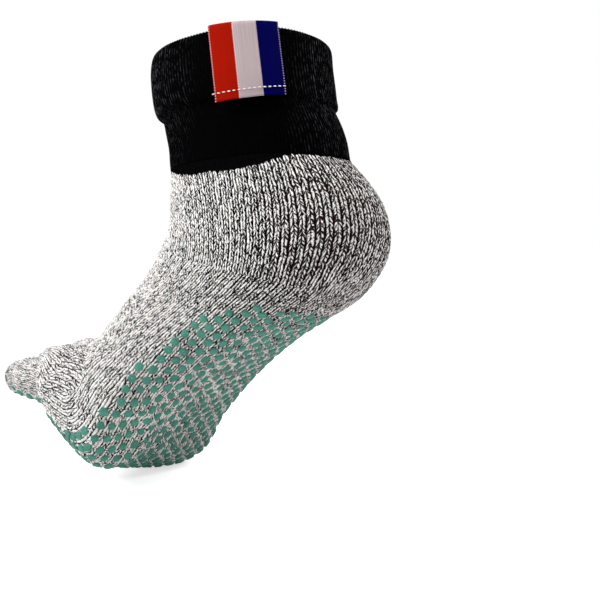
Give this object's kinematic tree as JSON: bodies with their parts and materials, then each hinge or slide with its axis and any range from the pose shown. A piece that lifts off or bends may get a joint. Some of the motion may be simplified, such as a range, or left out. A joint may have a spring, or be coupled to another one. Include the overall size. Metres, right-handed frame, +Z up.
{
  "type": "toe sock",
  "caption": "Worn knit ankle sock held on tiptoe, with a separate pocket for each toe, a heel pocket, grip-dotted sole, ribbed cuff and ribbon pull tab.",
  "frame": {"origin": "centre of the opening at the cuff's rim, where the foot goes in", "axes": "+X forward to the toes, level; +Y to the little toe's side; +Z up, at right angles to the floor that the ball of the foot stands on"},
  "size_m": [0.205, 0.1196, 0.2063],
  "materials": {
    "marl_knit": "coarse grey marl plain knit of black and white plies, matte",
    "black_rib": "fine black elastic rib knit, matte",
    "striped_ribbon": "satin ribbon with red, white and blue lengthwise stripes, soft sheen",
    "grip_dots": "printed green grip dots, matte rubber, slightly raised"
  },
  "bodies": {
    "root": {"foot_knit": "marl_knit", "cuff": "black_rib", "pull_tab": "striped_ribbon"}
  },
  "joints": []
}
